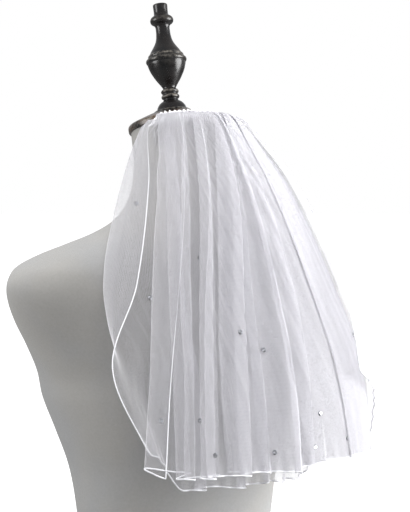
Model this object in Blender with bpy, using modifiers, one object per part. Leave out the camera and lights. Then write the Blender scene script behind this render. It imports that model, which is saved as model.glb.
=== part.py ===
"""A short two-tier bridal veil of gathered tulle on a limbless dress form.

Metres, +Z up. The form stands on the floor with its flat base centred on the
origin, faces +Y and leans its neck forward. The veil hangs down its back,
towards -Y, from a comb that curves round the back of the neck cap. Angles
round the neck are measured from straight back, positive towards +X.
"""

from collections import namedtuple
from math import cos, pi, radians, sin

import bmesh
import bpy
from mathutils import Vector

# ---------------------------------------------------------------- dimensions
NECK_TOP = 0.6323           # height of the neck cap's rim above the floor
LEAN = radians(14)          # the neck and all on it lean forward by this
GAP = 0.0003                # clearance between pieces that meet

CAP_RADIUS = 0.0490
CAP_HALF_RIM = 0.003
CAP_TOP = 0.0150            # height of the dome's flat above the rim's middle

COMB_RADIUS = 0.0498        # inner face of the comb, just clear of the cap
COMB_THICKNESS = 0.0012
COMB_HALF_ANGLE = 56        # degrees each way from the back
COMB_TEETH = 18
COMB_SPINE = (-0.0010, -0.0060)   # top and bottom of the spine on the neck axis
COMB_TIP = -0.0280
COMB_TIP_PULL = 0.0020      # the tips lean in against the neck by this

CLOTH = 0.001               # thickness of a tulle wall
EDGE_RADIUS = 0.0008        # of the corded stitch
EDGE_REACH = 0.0015         # from the cloth's cut edge to the cord's middle
SHARPEST_MITRE = 0.6        # at the hem's corners
EDGE_FROM_ROW = 2           # the gathers hide it above this row

HEADING_RADIUS = 0.0527
HEADING_THICKNESS = 0.0024
HEADING_HEIGHTS = (-0.0075, 0.0004, 0.0046)
HEADING_HALF_ANGLE = 58
HEADING_GATHERS = 15
HEADING_WAVE = 0.0007
HEADING_SCALLOP = 0.0011

SAMPLES_PER_FOLD = 3        # columns of the faceted wall from fold to fold
DEPTHS = (0.0, 0.045, 0.11, 0.19, 0.28, 0.38, 0.49, 0.61, 0.73, 0.86, 1.0)

# --------------------------------------------------------------- the torso
# One row a section: its height, half its width, how far it reaches behind and
# in front of the neck's foot, how square it is and how far it tips forward.
Section = namedtuple("Section", "height half_width back front square tip")
TORSO = (
    Section(0.000, 0.146, 0.108, 0.096, 2.2, 0),
    Section(0.010, 0.152, 0.114, 0.101, 2.2, 0),
    Section(0.045, 0.155, 0.120, 0.102, 2.2, 0),
    Section(0.095, 0.141, 0.106, 0.093, 2.2, 0),
    Section(0.140, 0.118, 0.088, 0.081, 2.2, 0),
    Section(0.180, 0.107, 0.080, 0.076, 2.2, 0),
    Section(0.225, 0.110, 0.083, 0.079, 2.2, 0),
    Section(0.270, 0.117, 0.089, 0.089, 2.2, 0),
    Section(0.310, 0.1305, 0.095, 0.101, 2.2, 0),
    Section(0.345, 0.143, 0.099, 0.112, 2.2, 0),
    Section(0.372, 0.149, 0.102, 0.114, 2.2, 0),
    Section(0.402, 0.165, 0.105, 0.108, 2.1, 0),
    Section(0.430, 0.183, 0.105, 0.096, 2.0, 0),
    Section(0.455, 0.194, 0.104, 0.084, 2.0, 0),
    Section(0.472, 0.195, 0.103, 0.077, 2.0, 0),
    Section(0.486, 0.187, 0.101, 0.071, 2.0, 0),
    Section(0.498, 0.163, 0.098, 0.066, 2.0, 0),
    Section(0.509, 0.130, 0.094, 0.061, 2.0, 0),
    Section(0.520, 0.099, 0.090, 0.056, 2.0, 1),
    Section(0.533, 0.075, 0.082, 0.050, 2.0, 3),
    Section(0.551, 0.059, 0.073, 0.043, 2.0, 6),
    Section(0.573, 0.051, 0.064, 0.038, 2.0, 9),
    Section(0.600, 0.047, 0.055, 0.039, 2.0, 12),
)
TORSO_SIDES = 40
NECK_RADIUS = 0.0465

# ------------------------------------------------------ neck cap and finial
# Turned outlines, top to bottom: radius and height above the rim's middle.
CAP_DOME = ((0.0220, 0.0150), (0.0300, 0.0120), (0.0380, 0.0086), (0.0450, 0.0056))
Turning = namedtuple("Turning", "height radius")
FINIAL = (
    Turning(0.1215, 0.0066),
    Turning(0.1205, 0.0078),
    Turning(0.1100, 0.0078),
    Turning(0.1083, 0.0088),
    Turning(0.1064, 0.0114),
    Turning(0.1034, 0.0127),
    Turning(0.1004, 0.0119),
    Turning(0.0986, 0.0096),
    Turning(0.0968, 0.0080),
    Turning(0.0930, 0.0076),
    Turning(0.0850, 0.0081),
    Turning(0.0790, 0.0096),
    Turning(0.0735, 0.0126),
    Turning(0.0690, 0.0156),
    Turning(0.0655, 0.0176),
    Turning(0.0638, 0.0192),
    Turning(0.0616, 0.0195),
    Turning(0.0600, 0.0214),
    Turning(0.0580, 0.0221),
    Turning(0.0562, 0.0214),
    Turning(0.0540, 0.0206),
    Turning(0.0470, 0.0184),
    Turning(0.0385, 0.0140),
    Turning(0.0320, 0.0097),
    Turning(0.0280, 0.0072),
    Turning(0.0262, 0.0072),
    Turning(0.0250, 0.0092),
    Turning(0.0226, 0.0095),
    Turning(0.0207, 0.0082),
    Turning(0.0190, 0.0096),
    Turning(0.0166, 0.0096),
    Turning(0.0148, 0.0078),
    Turning(0.0132, 0.0086),
    Turning(0.0104, 0.0124),
    Turning(0.0064, 0.0152),
    Turning(0.0026, 0.0163),
    Turning(0.0016, 0.0196),
    Turning(0.0004, 0.0200),
)

# ------------------------------------------------------------- the two tiers
# How a tier falls: for each share of its length the height over the floor,
# its distance from the neck axis at the side and at the back.
Fall = namedtuple("Fall", "share height side back")
FALLS = (
    Fall(0.00, 0.6425, 0.0548, 0.0548),
    Fall(0.03, 0.6480, 0.0610, 0.0610),
    Fall(0.08, 0.6400, 0.0745, 0.0725),
    Fall(0.16, 0.6140, 0.0950, 0.0885),
    Fall(0.28, 0.5700, 0.1245, 0.1120),
    Fall(0.42, 0.5160, 0.1510, 0.1330),
    Fall(0.57, 0.4560, 0.1760, 0.1500),
    Fall(0.72, 0.3950, 0.1990, 0.1650),
    Fall(0.86, 0.3350, 0.2105, 0.1760),
    Fall(1.00, 0.2740, 0.2140, 0.1850),
)
COMB_TILT = CAP_RADIUS * sin(LEAN)   # the comb's ends lie below its middle
TILT_ENDS_AT = 0.3

# One row a fold line, from the tier's left side edge to its right one: the
# angle round the neck in degrees at six places down the cloth, how far the
# line stands out from the fall at mid length and at the hem in millimetres,
# and how far its hem drops below the tier's own, in millimetres.
Fold = namedtuple("Fold", "comb crown nape blade waist hem mid low drop")
PLACES = (0.0, 0.12, 0.28, 0.56, 0.78, 1.0)
OUTER_FOLDS = (
    Fold(-50.0, -21, -22.0, -25.0, -27.5, -28.5, 10, 10, -2),
    Fold(-48.5, -31, -30.0, -30.0, -31.0, -31.5, 10, 9, -6),
    Fold(-46.5, -40, -36.0, -33.5, -33.5, -34.5, 2, 2, -12),
    Fold(-41.0, -34, -28.0, -24.5, -23.0, -23.5, -6, -6, -4),
    Fold(-36.0, -34, -31.5, -29.0, -27.5, -26.5, 2, 3, 0),
    Fold(-29.0, -27, -26.0, -24.0, -23.5, -23.5, 5, 6, 1),
    Fold(-22.0, -21, -20.5, -20.5, -20.5, -21.0, 2, 2, 0),
    Fold(-16.0, -16, -15.5, -16.0, -17.5, -18.0, 6, 7, 1),
    Fold(-12.0, -12, -12.5, -13.5, -14.5, -14.5, 2, 2, -1),
    Fold(-8.0, -8, -9.0, -10.0, -11.0, -11.0, 6, 8, 1),
    Fold(-3.0, -3, -3.0, -4.0, -6.0, -7.0, 2, 2, -1),
    Fold(2.0, 2, 2.0, 0.0, -2.5, -3.5, 7, 8, 1),
    Fold(6.0, 6, 6.0, 4.5, 2.0, 1.5, 3, 3, 0),
    Fold(10.0, 10, 10.0, 9.0, 8.0, 7.0, 7, 8, 1),
    Fold(13.0, 13, 13.5, 12.5, 11.5, 10.5, 5, 5, 0),
    Fold(15.0, 10, 9.0, 8.0, 7.0, 6.0, -4, -4, -1),
    Fold(17.0, 6, -3.0, -9.0, -11.0, -10.0, -5, -6, -2),
    Fold(20.5, 14, 11.0, 12.0, 13.0, 14.0, -10, -10, -2),
    Fold(26.0, 21, 20.5, 20.5, 20.0, 20.5, -1, 1, -3),
    Fold(31.0, 26, 25.5, 26.0, 25.5, 26.5, -6, -6, -6),
    Fold(37.0, 31, 30.0, 34.0, 36.0, 40.0, 3, 3, -2),
    Fold(43.0, 38, 39.0, 41.5, 43.0, 46.0, -4, -4, -5),
    Fold(48.5, 46, 46.5, 48.0, 49.5, 51.0, 3, 3, -2),
    Fold(53.0, 52, 53.0, 54.0, 55.0, 55.5, -3, -3, -6),
    Fold(57.0, 59, 60.0, 61.0, 61.0, 60.0, -2, -2, -12),
    Fold(58.5, 55, 53.0, 51.0, 51.0, 52.0, 6, 6, -62),
    Fold(59.5, 49, 44.0, 40.0, 37.0, 37.0, 9, 9, -95),
)
INNER_FOLDS = (
    Fold(-59.5, -49, -40.0, -40.0, -45.0, -34.5, 10, 10, -40),
    Fold(-58.5, -54, -49.0, -48.0, -43.5, -33.0, 9, 6, -36),
    Fold(-57.0, -58, -55.0, -52.5, -41.5, -31.0, 0, 0, -30),
    Fold(-51.0, -45, -39.0, -35.0, -35.0, -28.5, -4, -4, -14),
    Fold(-44.0, -40, -35.0, -31.0, -30.5, -26.0, 3, 4, 0),
    Fold(-37.0, -34, -30.0, -27.5, -25.5, -23.0, -4, -4, 0),
    Fold(-29.0, -28, -26.0, -24.5, -19.5, -18.5, 4, 4, 2),
    Fold(-22.0, -21, -19.0, -18.0, -15.0, -15.0, -4, -4, 0),
    Fold(-15.0, -14, -13.0, -12.5, -11.0, -10.5, 3, 3, 2),
    Fold(-8.0, -8, -7.5, -7.0, -6.0, -5.5, -4, -4, 0),
    Fold(-1.0, -1, -1.0, -0.5, -1.0, -1.5, 2, 3, 3),
    Fold(6.0, 5, 5.0, 5.0, 4.0, 2.5, -4, -4, 1),
    Fold(13.0, 12, 11.0, 10.5, 8.5, 6.0, 2, 3, 0),
    Fold(20.5, 19, 18.0, 16.5, 13.0, 9.5, -4, -4, -2),
    Fold(28.0, 27, 25.5, 23.5, 17.0, 13.0, 3, 4, 1),
    Fold(36.0, 34, 33.0, 31.0, 20.5, 16.0, -4, -4, -2),
    Fold(44.0, 42, 41.0, 38.5, 24.0, 18.5, 3, 4, 0),
    Fold(52.0, 50, 49.5, 46.0, 27.0, 20.5, -3, -3, -3),
    Fold(59.0, 58, 57.5, 53.0, 30.0, 22.5, 1, 2, -8),
)
# Each tier's place: how far its body lies inside the fall at the back and at
# the side, how far its crest lies under the fall's, and how much further than
# the fall its hem drops.
Tier = namedtuple("Tier", "folds inside_back inside_side sink hem_drop")
OUTER = Tier(OUTER_FOLDS, 0.0, 0.0, 0.0, -0.012)
INNER = Tier(INNER_FOLDS, 0.018, 0.013, 0.0055, 0.002)
BODY_FROM = 0.3             # share of the length where the body's place holds
STANDS_AT = (0.0, 0.12, 0.55, 1.0)
CROWN_STAND = 0.4           # of a fold's stand at mid length
SIDE_ANGLE = 60             # degrees round from the back to the side fall


# ------------------------------------------------------------------- helpers
def clear_scene():
    """Empty the start-up scene and make the part's own collection."""
    for obj in list(bpy.data.objects):
        bpy.data.objects.remove(obj, do_unlink=True)
    parts = bpy.data.collections.new("bridal_veil_on_form")
    bpy.context.scene.collection.children.link(parts)
    return parts


def finish(name, colour, roughness, metallic=0.0):
    """A Principled material of one colour."""
    material = bpy.data.materials.new(name)
    material.use_nodes = True
    shader = material.node_tree.nodes["Principled BSDF"]
    shader.inputs["Base Color"].default_value = (*colour, 1.0)
    shader.inputs["Roughness"].default_value = roughness
    shader.inputs["Metallic"].default_value = metallic
    return material


def hermite(knots, values, at):
    """The smooth curve through values at knots, read at one place."""
    last = len(knots) - 1
    at = min(max(at, knots[0]), knots[last])
    i = min(max(k for k in range(last) if knots[k] <= at), last - 1)

    def slope(k):
        low, high = max(k - 1, 0), min(k + 1, last)
        return (values[high] - values[low]) / (knots[high] - knots[low])

    span = knots[i + 1] - knots[i]
    t = (at - knots[i]) / span
    start = (2 * t**3 - 3 * t**2 + 1) * values[i] + (t**3 - 2 * t**2 + t) * span * slope(i)
    end = (3 * t**2 - 2 * t**3) * values[i + 1] + (t**3 - t**2) * span * slope(i + 1)
    return start + end


def on_neck(angle, radius, height):
    """A point round the leaning neck, from its angle, radius and height."""
    along = -radius * cos(angle)
    return (
        radius * sin(angle),
        along * cos(LEAN) + height * sin(LEAN),
        NECK_TOP - along * sin(LEAN) + height * cos(LEAN),
    )


def mesh_object(parts, name, points, faces, material):
    """A mesh object from points and faces, shaded smooth."""
    mesh = bpy.data.meshes.new(name)
    mesh.from_pydata(points, [], faces)
    mesh.shade_smooth()
    obj = bpy.data.objects.new(name, mesh)
    obj.data.materials.append(material)
    parts.objects.link(obj)
    return obj


def face_outwards(obj):
    """Turn every face of a closed mesh outwards."""
    work = bmesh.new()
    work.from_mesh(obj.data)
    bmesh.ops.recalc_face_normals(work, faces=work.faces)
    work.to_mesh(obj.data)
    work.free()


def grid_faces(rows, columns, keep=lambda row, column: True):
    """Quads of a grid of points, row by row, that keep lets through."""
    return [
        (
            row * columns + column,
            row * columns + column + 1,
            (row + 1) * columns + column + 1,
            (row + 1) * columns + column,
        )
        for row in range(rows - 1)
        for column in range(columns - 1)
        if keep(row, column)
    ]


def thicken(obj, thickness):
    """Give an open surface its wall, half to each side."""
    wall = obj.modifiers.new("wall", "SOLIDIFY")
    wall.thickness = thickness
    wall.offset = 0.0


def turned(parts, name, outline, steps, material):
    """A piece turned round the neck axis from a top-to-bottom outline."""
    points = [(radius, 0.0, height) for radius, height in outline]
    mesh = bpy.data.meshes.new(name)
    mesh.from_pydata(points, [(k, k + 1) for k in range(len(points) - 1)], [])
    obj = bpy.data.objects.new(name, mesh)
    obj.data.materials.append(material)
    parts.objects.link(obj)
    screw = obj.modifiers.new("turning", "SCREW")
    screw.steps = steps
    screw.render_steps = steps
    screw.use_merge_vertices = True
    screw.merge_threshold = 0.00001
    screw.use_smooth_shade = True
    obj.location = (0.0, 0.0, NECK_TOP)
    obj.rotation_euler = (-LEAN, 0.0, 0.0)
    return obj


# ------------------------------------------------------------- the dress form
def section_ring(section):
    """The points of one torso section."""
    middle = (section.front - section.back) / 2
    depth = (section.front + section.back) / 2
    tip = radians(section.tip)
    power = 2 / section.square
    ring = []
    for k in range(TORSO_SIDES):
        turn = 2 * pi * k / TORSO_SIDES
        across = abs(cos(turn)) ** power * (1 if cos(turn) >= 0 else -1)
        along = abs(sin(turn)) ** power * (1 if sin(turn) >= 0 else -1) * depth
        ring.append((
            section.half_width * across,
            middle + along * cos(tip),
            section.height - along * sin(tip),
        ))
    return ring


def neck_ring():
    """The neck's round top, just under the cap."""
    height = -CAP_HALF_RIM - GAP
    turns = [2 * pi * k / TORSO_SIDES for k in range(TORSO_SIDES)]
    return [on_neck(turn + pi / 2, NECK_RADIUS, height) for turn in turns]


def build_torso(parts, jersey):
    """The limbless form: its sections joined ring to ring, closed flat."""
    rings = [section_ring(section) for section in TORSO] + [neck_ring()]
    points = [point for ring in rings for point in ring]
    faces = []
    for row in range(len(rings) - 1):
        for k in range(TORSO_SIDES):
            after = (k + 1) % TORSO_SIDES
            low, high = row * TORSO_SIDES, (row + 1) * TORSO_SIDES
            faces.append((low + k, low + after, high + after, high + k))
    faces.append(tuple(reversed(range(TORSO_SIDES))))
    top = (len(rings) - 1) * TORSO_SIDES
    faces.append(tuple(range(top, top + TORSO_SIDES)))
    face_outwards(mesh_object(parts, "torso", points, faces, jersey))


def build_cap(parts, bronze):
    """The domed cap on the neck."""
    outline = (
        [(0.0, CAP_TOP)]
        + list(CAP_DOME)
        + [
            (CAP_RADIUS, CAP_HALF_RIM),
            (CAP_RADIUS, -CAP_HALF_RIM + 0.001),
            (CAP_RADIUS - 0.001, -CAP_HALF_RIM),
            (0.0, -CAP_HALF_RIM),
        ]
    )
    turned(parts, "neck_cap", outline, 32, bronze)


def build_finial(parts, bronze):
    """The urn finial, turned in one piece with the flange under it."""
    foot = CAP_TOP + GAP
    outline = [(row.radius, foot + row.height) for row in FINIAL]
    outline = [(0.0, outline[0][1] + 0.0003)] + outline + [(0.0, outline[-1][1])]
    turned(parts, "finial", outline, 24, bronze)


# ------------------------------------------------------------------ the veil
def build_comb(parts, metal):
    """A curved comb: a spine round the back of the cap and teeth below it."""
    columns = 2 * COMB_TEETH
    half = radians(COMB_HALF_ANGLE)
    middle = COMB_RADIUS + COMB_THICKNESS / 2
    levels = (
        (COMB_SPINE[0], middle),
        (COMB_SPINE[1], middle),
        (COMB_TIP, middle - COMB_TIP_PULL),
    )
    points = [
        on_neck(half * (2 * column / (columns - 1) - 1), radius, height)
        for height, radius in levels
        for column in range(columns)
    ]

    def spine_or_tooth(row, column):
        return row == 0 or column % 2 == 0

    faces = grid_faces(len(levels), columns, spine_or_tooth)
    thicken(mesh_object(parts, "comb", points, faces, metal), COMB_THICKNESS)


def build_heading(parts, tulle):
    """The gathered seam allowance that stands along the comb."""
    columns = 4 * HEADING_GATHERS + 1
    half = radians(HEADING_HALF_ANGLE)
    points = []
    for level, height in enumerate(HEADING_HEIGHTS):
        share = level / (len(HEADING_HEIGHTS) - 1)
        for column in range(columns):
            wave = sin(2 * pi * column / 4)
            angle = half * (2 * column / (columns - 1) - 1)
            radius = HEADING_RADIUS + HEADING_WAVE * wave * share
            points.append(on_neck(angle, radius, height + HEADING_SCALLOP * wave * share))
    faces = grid_faces(len(HEADING_HEIGHTS), columns)
    heading = mesh_object(parts, "heading", points, faces, tulle)
    thicken(heading, HEADING_THICKNESS)


def ramp(value, full):
    """From 0 to 1 as value goes from 0 to full, eased at both ends."""
    t = min(max(value / full, 0.0), 1.0)
    return t * t * (3 - 2 * t)


def stand_out(fold, share):
    """How far a fold line stands out at one share of its length."""
    stands = (0.0, CROWN_STAND * fold.mid, fold.mid, fold.low)
    return hermite(STANDS_AT, stands, share)


def tier_point(tier, place, share):
    """A point of a tier: place counts its folds, share runs down its length."""
    folds = tier.folds
    rows = range(max(0, int(place) - 2), min(len(folds), int(place) + 4))

    def across(read):
        return hermite(list(rows), [read(folds[row]) for row in rows], place)

    degrees = across(lambda fold: hermite(PLACES, fold[:len(PLACES)], share))
    stand = across(lambda fold: stand_out(fold, share)) / 1000
    hem = across(lambda fold: fold.drop) / 1000 + tier.hem_drop
    shares = [fall.share for fall in FALLS]
    height = hermite(shares, [fall.height for fall in FALLS], share)
    side = hermite(shares, [fall.side for fall in FALLS], share)
    back = hermite(shares, [fall.back for fall in FALLS], share)
    to_side = sin(pi / 2 * min(abs(degrees) / SIDE_ANGLE, 1.0)) ** 2
    inside = tier.inside_side * to_side + tier.inside_back * (1 - to_side)
    inside *= ramp(share, BODY_FROM)
    radius = side * to_side + back * (1 - to_side) - inside + stand
    angle = radians(degrees)
    height -= COMB_TILT * (1 - cos(angle)) * (1 - ramp(share, TILT_ENDS_AT))
    height -= tier.sink * (1 - ramp(share, BODY_FROM))
    height -= hem * share**1.5
    return (radius * sin(angle), -radius * cos(angle), height)


def tier_grid(tier):
    """Rows of points down a tier, each from its left edge to its right."""
    columns = SAMPLES_PER_FOLD * (len(tier.folds) - 1)
    return [
        [tier_point(tier, column / SAMPLES_PER_FOLD, share) for column in range(columns + 1)]
        for share in DEPTHS
    ]


def beyond_edge(route, inner):
    """The edge's route moved off the cloth, square to it, further at a corner."""
    moved = []
    last = len(route) - 1
    for k, place in enumerate(route):
        point = Vector(place)
        before, after = Vector(route[max(k - 1, 0)]), Vector(route[min(k + 1, last)])
        along = (point - before).normalized() + (after - point).normalized()
        away = point - Vector(inner[k])
        away -= away.project(along)
        mitre = max(along.length / 2, SHARPEST_MITRE) if 0 < k < last else 1.0
        moved.append(point + EDGE_REACH / mitre * away.normalized())
    return moved


def edge_route(rows):
    """The corded stitch's middle: down one side, along the hem and up."""
    sides = rows[EDGE_FROM_ROW:-1]
    low, above = rows[-1], rows[-2]
    route = [row[0] for row in sides] + low + [row[-1] for row in sides[::-1]]
    inner = (
        [row[1] for row in sides]
        + [above[1]]
        + above[1:-1]
        + [above[-2]]
        + [row[-2] for row in sides[::-1]]
    )
    return beyond_edge(route, inner)


def build_edge(parts, name, rows, thread):
    """The corded stitch as a tube along its route."""
    curve = bpy.data.curves.new(name, "CURVE")
    curve.dimensions = "3D"
    curve.bevel_depth = EDGE_RADIUS
    curve.bevel_resolution = 2
    curve.use_fill_caps = True
    route = edge_route(rows)
    spline = curve.splines.new("POLY")
    spline.points.add(len(route) - 1)
    for point, place in zip(spline.points, route):
        point.co = (*place, 1.0)
    obj = bpy.data.objects.new(name, curve)
    obj.data.materials.append(thread)
    parts.objects.link(obj)


def build_tier(parts, name, tier, tulle, thread):
    """One tier of tulle and the stitch round it."""
    rows = tier_grid(tier)
    points = [point for row in rows for point in row]
    faces = grid_faces(len(rows), len(rows[0]))
    thicken(mesh_object(parts, name, points, faces, tulle), CLOTH)
    build_edge(parts, name + "_edge", rows, thread)


def main():
    parts = clear_scene()
    jersey = finish("form_jersey", (0.48, 0.48, 0.47), 0.9)
    bronze = finish("dark_bronze", (0.035, 0.032, 0.028), 0.4, 0.6)
    metal = finish("comb_metal", (0.30, 0.30, 0.31), 0.35, 1.0)
    tulle = finish("white_tulle", (0.86, 0.86, 0.88), 0.7)
    thread = finish("edge_thread", (0.90, 0.90, 0.91), 0.6)
    build_torso(parts, jersey)
    build_cap(parts, bronze)
    build_finial(parts, bronze)
    build_comb(parts, metal)
    build_heading(parts, tulle)
    build_tier(parts, "outer_tier", OUTER, tulle, thread)
    build_tier(parts, "inner_tier", INNER, tulle, thread)


main()
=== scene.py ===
"""Looks for a short two-tier bridal veil of gathered tulle on a dress form.

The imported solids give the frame. Each piece here is built in mesh code around
them, in metres, +Z up: the form faces +Y and the veil falls down its back,
towards -Y. Angles round the neck are measured from straight back, positive
towards +X.
"""

import logging
import math
from dataclasses import dataclass
from enum import Enum
from typing import NamedTuple, Sequence

import bmesh
import bpy
import numpy as np
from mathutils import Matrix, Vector

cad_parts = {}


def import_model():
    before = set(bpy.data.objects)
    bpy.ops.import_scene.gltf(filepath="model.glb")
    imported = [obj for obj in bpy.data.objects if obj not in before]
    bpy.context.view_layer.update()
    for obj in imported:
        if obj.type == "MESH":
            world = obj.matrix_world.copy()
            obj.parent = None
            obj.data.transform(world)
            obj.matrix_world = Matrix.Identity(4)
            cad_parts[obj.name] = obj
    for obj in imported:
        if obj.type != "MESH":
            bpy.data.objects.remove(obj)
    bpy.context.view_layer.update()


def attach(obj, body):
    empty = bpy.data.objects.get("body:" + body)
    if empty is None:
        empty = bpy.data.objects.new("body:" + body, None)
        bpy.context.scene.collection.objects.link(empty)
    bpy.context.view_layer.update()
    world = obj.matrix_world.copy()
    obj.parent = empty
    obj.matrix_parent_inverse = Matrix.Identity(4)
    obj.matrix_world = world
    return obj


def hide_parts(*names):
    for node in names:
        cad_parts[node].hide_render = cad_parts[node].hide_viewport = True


LOG = logging.getLogger("bridal_veil")

BODY = "root"

NECK_TOP = 0.6323
LEAN = math.radians(14)
CAP_TOP = 0.0150
CAP_HALF_RIM = 0.003
GAP = 0.0003

Points = np.ndarray


# --------------------------------------------------------------- curve tools
def smooth_read(knots: Sequence[float], values: Points, at: Points) -> Points:
    """Read the smooth curve through values at knots.

    Args:
        knots: Rising places along the curve.
        values: One value, or one row of values, for each knot.
        at: The places to read.

    Returns:
        The values read, one for each place.
    """
    knots = np.asarray(knots, float)
    values = np.asarray(values, float)
    last = len(knots) - 1
    place = np.clip(np.asarray(at, float), knots[0], knots[last])
    i = np.clip(np.searchsorted(knots, place, side="right") - 1, 0, last - 1)
    low = np.maximum(np.arange(last + 1) - 1, 0)
    high = np.minimum(np.arange(last + 1) + 1, last)
    span_of = (knots[high] - knots[low]).reshape((-1,) + (1,) * (values.ndim - 1))
    slopes = (values[high] - values[low]) / span_of
    span = knots[i + 1] - knots[i]
    t = (place - knots[i]) / span
    shape = t.shape + (1,) * (values.ndim - 1)
    t, span = t.reshape(shape), span.reshape(shape)
    start = (2 * t**3 - 3 * t**2 + 1) * values[i] + (t**3 - 2 * t**2 + t) * span * slopes[i]
    end = (3 * t**2 - 2 * t**3) * values[i + 1] + (t**3 - t**2) * span * slopes[i + 1]
    return start + end


def ramp(value: Points, full: float) -> Points:
    """From 0 to 1 as value goes from 0 to full, eased at both ends."""
    t = np.clip(np.asarray(value, float) / full, 0.0, 1.0)
    return t * t * (3 - 2 * t)


def on_neck(angle: Points, radius: Points, height: Points) -> Points:
    """Points round the leaning neck.

    Args:
        angle: Angles from straight back, in radians.
        radius: Distances from the neck axis.
        height: Heights above the cap rim's middle, along the neck axis.

    Returns:
        The points, one row each.
    """
    angle, radius, height = np.broadcast_arrays(
        np.asarray(angle, float), np.asarray(radius, float), np.asarray(height, float)
    )
    along = -radius * np.cos(angle)
    return np.stack(
        (
            radius * np.sin(angle),
            along * math.cos(LEAN) + height * math.sin(LEAN),
            NECK_TOP - along * math.sin(LEAN) + height * math.cos(LEAN),
        ),
        axis=-1,
    )


# ---------------------------------------------------------------- mesh tools
def grid_faces(rows: int, columns: int, wrap: bool = False) -> Points:
    """Quads over a grid of points laid out row by row.

    Args:
        rows: Rows of points.
        columns: Points in a row.
        wrap: True where each row closes on itself.

    Returns:
        One row of four point numbers for each quad.
    """
    across = np.arange(columns if wrap else columns - 1)
    after = (across + 1) % columns
    down = np.arange(rows - 1)[:, None] * columns
    quads = np.stack(
        (down + across, down + after, down + columns + after, down + columns + across),
        axis=-1,
    )
    return quads.reshape(-1, 4)


def closed_faces(rows: int, sides: int) -> list[tuple]:
    """Faces of a skin of rings, with one flat face over each end.

    Args:
        rows: Rings of points.
        sides: Points in a ring.

    Returns:
        The point numbers of each face.
    """
    faces = [tuple(face) for face in grid_faces(rows, sides, wrap=True)]
    faces.append(tuple(range(sides))[::-1])
    faces.append(tuple(range((rows - 1) * sides, rows * sides)))
    return faces


def lengths_along(route: Points) -> Points:
    """How far along a route each of its points is, from 0 at the first."""
    return np.concatenate(([0.0], np.cumsum(np.linalg.norm(np.diff(route, axis=0), axis=1))))


def make_mesh(
    name: str,
    points: Points,
    faces: Sequence,
    material: bpy.types.Material,
    uv: Points | None = None,
    sharp: float | None = None,
) -> bpy.types.Object:
    """Make a mesh object that rides on the part.

    Args:
        name: The object's name.
        points: One row of three numbers for each point.
        faces: Point numbers of each face.
        material: What the whole piece is finished with.
        uv: Two numbers for each point, in metres along the surface.
        sharp: Angle in degrees over which an edge stays crisp; None rounds all.

    Returns:
        The new object.
    """
    mesh = bpy.data.meshes.new(name)
    faces = [tuple(int(k) for k in face) for face in faces]
    mesh.from_pydata(np.asarray(points, float).reshape(-1, 3).tolist(), [], faces)
    mesh.shade_smooth()
    if sharp is not None:
        mesh.set_sharp_from_angle(angle=math.radians(sharp))
    if uv is not None:
        layer = mesh.uv_layers.new(name="cloth")
        corner = np.zeros(len(mesh.loops), np.int32)
        mesh.loops.foreach_get("vertex_index", corner)
        layer.data.foreach_set("uv", np.asarray(uv, np.float32)[corner].ravel())
    mesh.materials.append(material)
    obj = bpy.data.objects.new(name, mesh)
    bpy.context.scene.collection.objects.link(obj)
    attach(obj, BODY)
    return obj


def add_values(obj: bpy.types.Object, name: str, values: Points) -> None:
    """Store one number for each point of a mesh under a name."""
    layer = obj.data.attributes.new(name, "FLOAT", "POINT")
    layer.data.foreach_set("value", np.asarray(values, np.float32).ravel())


def face_outwards(obj: bpy.types.Object) -> None:
    """Turn every face of a closed mesh outwards.

    Args:
        obj: The object.
    """
    work = bmesh.new()
    work.from_mesh(obj.data)
    bmesh.ops.recalc_face_normals(work, faces=work.faces)
    work.to_mesh(obj.data)
    work.free()


def tube(route: Points, radius: float | Points, sides: int) -> tuple[Points, list, Points]:
    """A round cord along a route, closed at both ends.

    Args:
        route: The points of the cord's middle.
        radius: Its radius, or one radius for each point of the route.
        sides: Points in each ring.

    Returns:
        The points, the faces and each point's place round and along the cord.
    """
    route = np.asarray(route, float)
    along = np.gradient(route, axis=0)
    along /= np.linalg.norm(along, axis=1)[:, None]
    side = np.zeros_like(route)
    current = np.cross(along[0], (0.0, 0.3, 1.0))
    for k, direction in enumerate(along):
        current = current - direction * (current @ direction)
        current = current / np.linalg.norm(current)
        side[k] = current
    other = np.cross(along, side)
    turn = np.arange(sides) * 2 * math.pi / sides
    thick = np.broadcast_to(radius, (len(route),))[:, None]
    rings = (
        route[:, None]
        + (thick * np.cos(turn))[..., None] * side[:, None]
        + (thick * np.sin(turn))[..., None] * other[:, None]
    )
    far = lengths_along(route)
    uv = np.stack(np.broadcast_arrays(turn[None] * thick, far[:, None]), axis=-1)
    return rings.reshape(-1, 3), closed_faces(len(route), sides), uv.reshape(-1, 2)


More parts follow.
